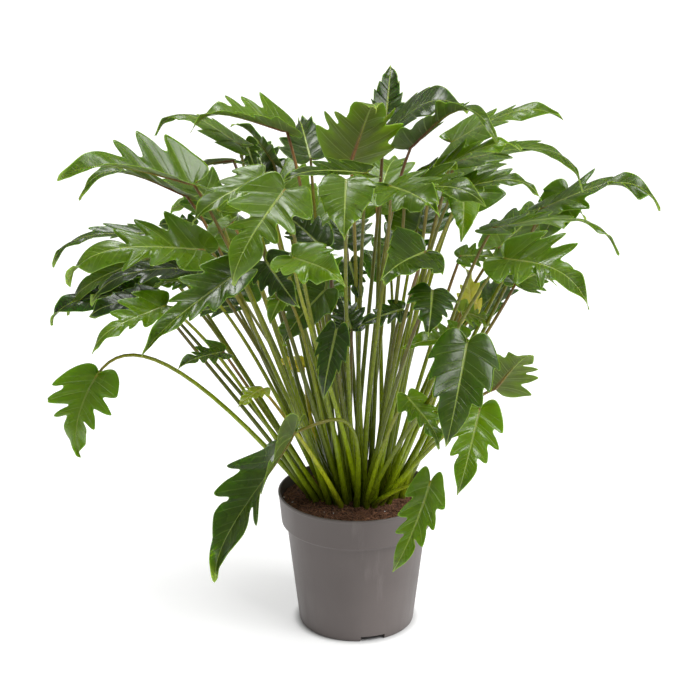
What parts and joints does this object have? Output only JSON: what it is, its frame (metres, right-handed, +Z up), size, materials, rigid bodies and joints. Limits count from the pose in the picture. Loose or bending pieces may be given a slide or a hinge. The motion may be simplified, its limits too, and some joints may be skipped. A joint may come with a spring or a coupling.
{
  "type": "potted philodendron",
  "caption": "Bushy philodendron with glossy lobed leaves on long upright petioles, growing from brown soil in a round tapered plastic nursery pot with a wide collar, standing on its foot ring.",
  "frame": {"origin": "centre of the pot's foot on the surface it stands on, which lies under the middle of the whole plant to within a few millimetres", "axes": "+Z up out of the pot, -Y towards the front as pictured, +X to the right seen from the front, along the plant's widest spread"},
  "size_m": [0.7092, 0.5442, 0.6623],
  "materials": {
    "pot_plastic": "satin taupe-grey injection-moulded polypropylene",
    "soil": "loose reddish-brown coir and peat with a few white perlite grains",
    "leaf": "glossy green leaf with a pale midrib, on a yellow-green petiole"
  },
  "bodies": {
    "root": {"pot": "pot_plastic", "soil": "soil", "leaf_01": "leaf", "leaf_02": "leaf", "leaf_03": "leaf", "leaf_04": "leaf", "leaf_05": "leaf", "leaf_06": "leaf", "leaf_07": "leaf", "leaf_08": "leaf", "leaf_09": "leaf", "leaf_10": "leaf", "leaf_11": "leaf", "leaf_12": "leaf", "leaf_13": "leaf", "leaf_14": "leaf", "leaf_15": "leaf", "leaf_16": "leaf", "leaf_17": "leaf", "leaf_18": "leaf", "leaf_19": "leaf", "leaf_20": "leaf", "leaf_21": "leaf", "leaf_22": "leaf", "leaf_23": "leaf", "leaf_24": "leaf", "leaf_25": "leaf", "leaf_26": "leaf", "leaf_27": "leaf", "leaf_28": "leaf", "leaf_29": "leaf", "leaf_30": "leaf", "leaf_31": "leaf", "leaf_32": "leaf", "leaf_33": "leaf", "leaf_34": "leaf", "leaf_35": "leaf", "leaf_36": "leaf", "leaf_37": "leaf", "leaf_38": "leaf", "leaf_39": "leaf", "leaf_40": "leaf", "leaf_41": "leaf", "leaf_42": "leaf", "leaf_43": "leaf", "leaf_44": "leaf", "leaf_45": "leaf", "leaf_46": "leaf", "leaf_47": "leaf", "leaf_48": "leaf", "leaf_49": "leaf", "leaf_50": "leaf", "leaf_51": "leaf", "leaf_52": "leaf", "leaf_53": "leaf", "leaf_54": "leaf", "leaf_55": "leaf", "leaf_56": "leaf", "leaf_57": "leaf"}
  },
  "joints": []
}
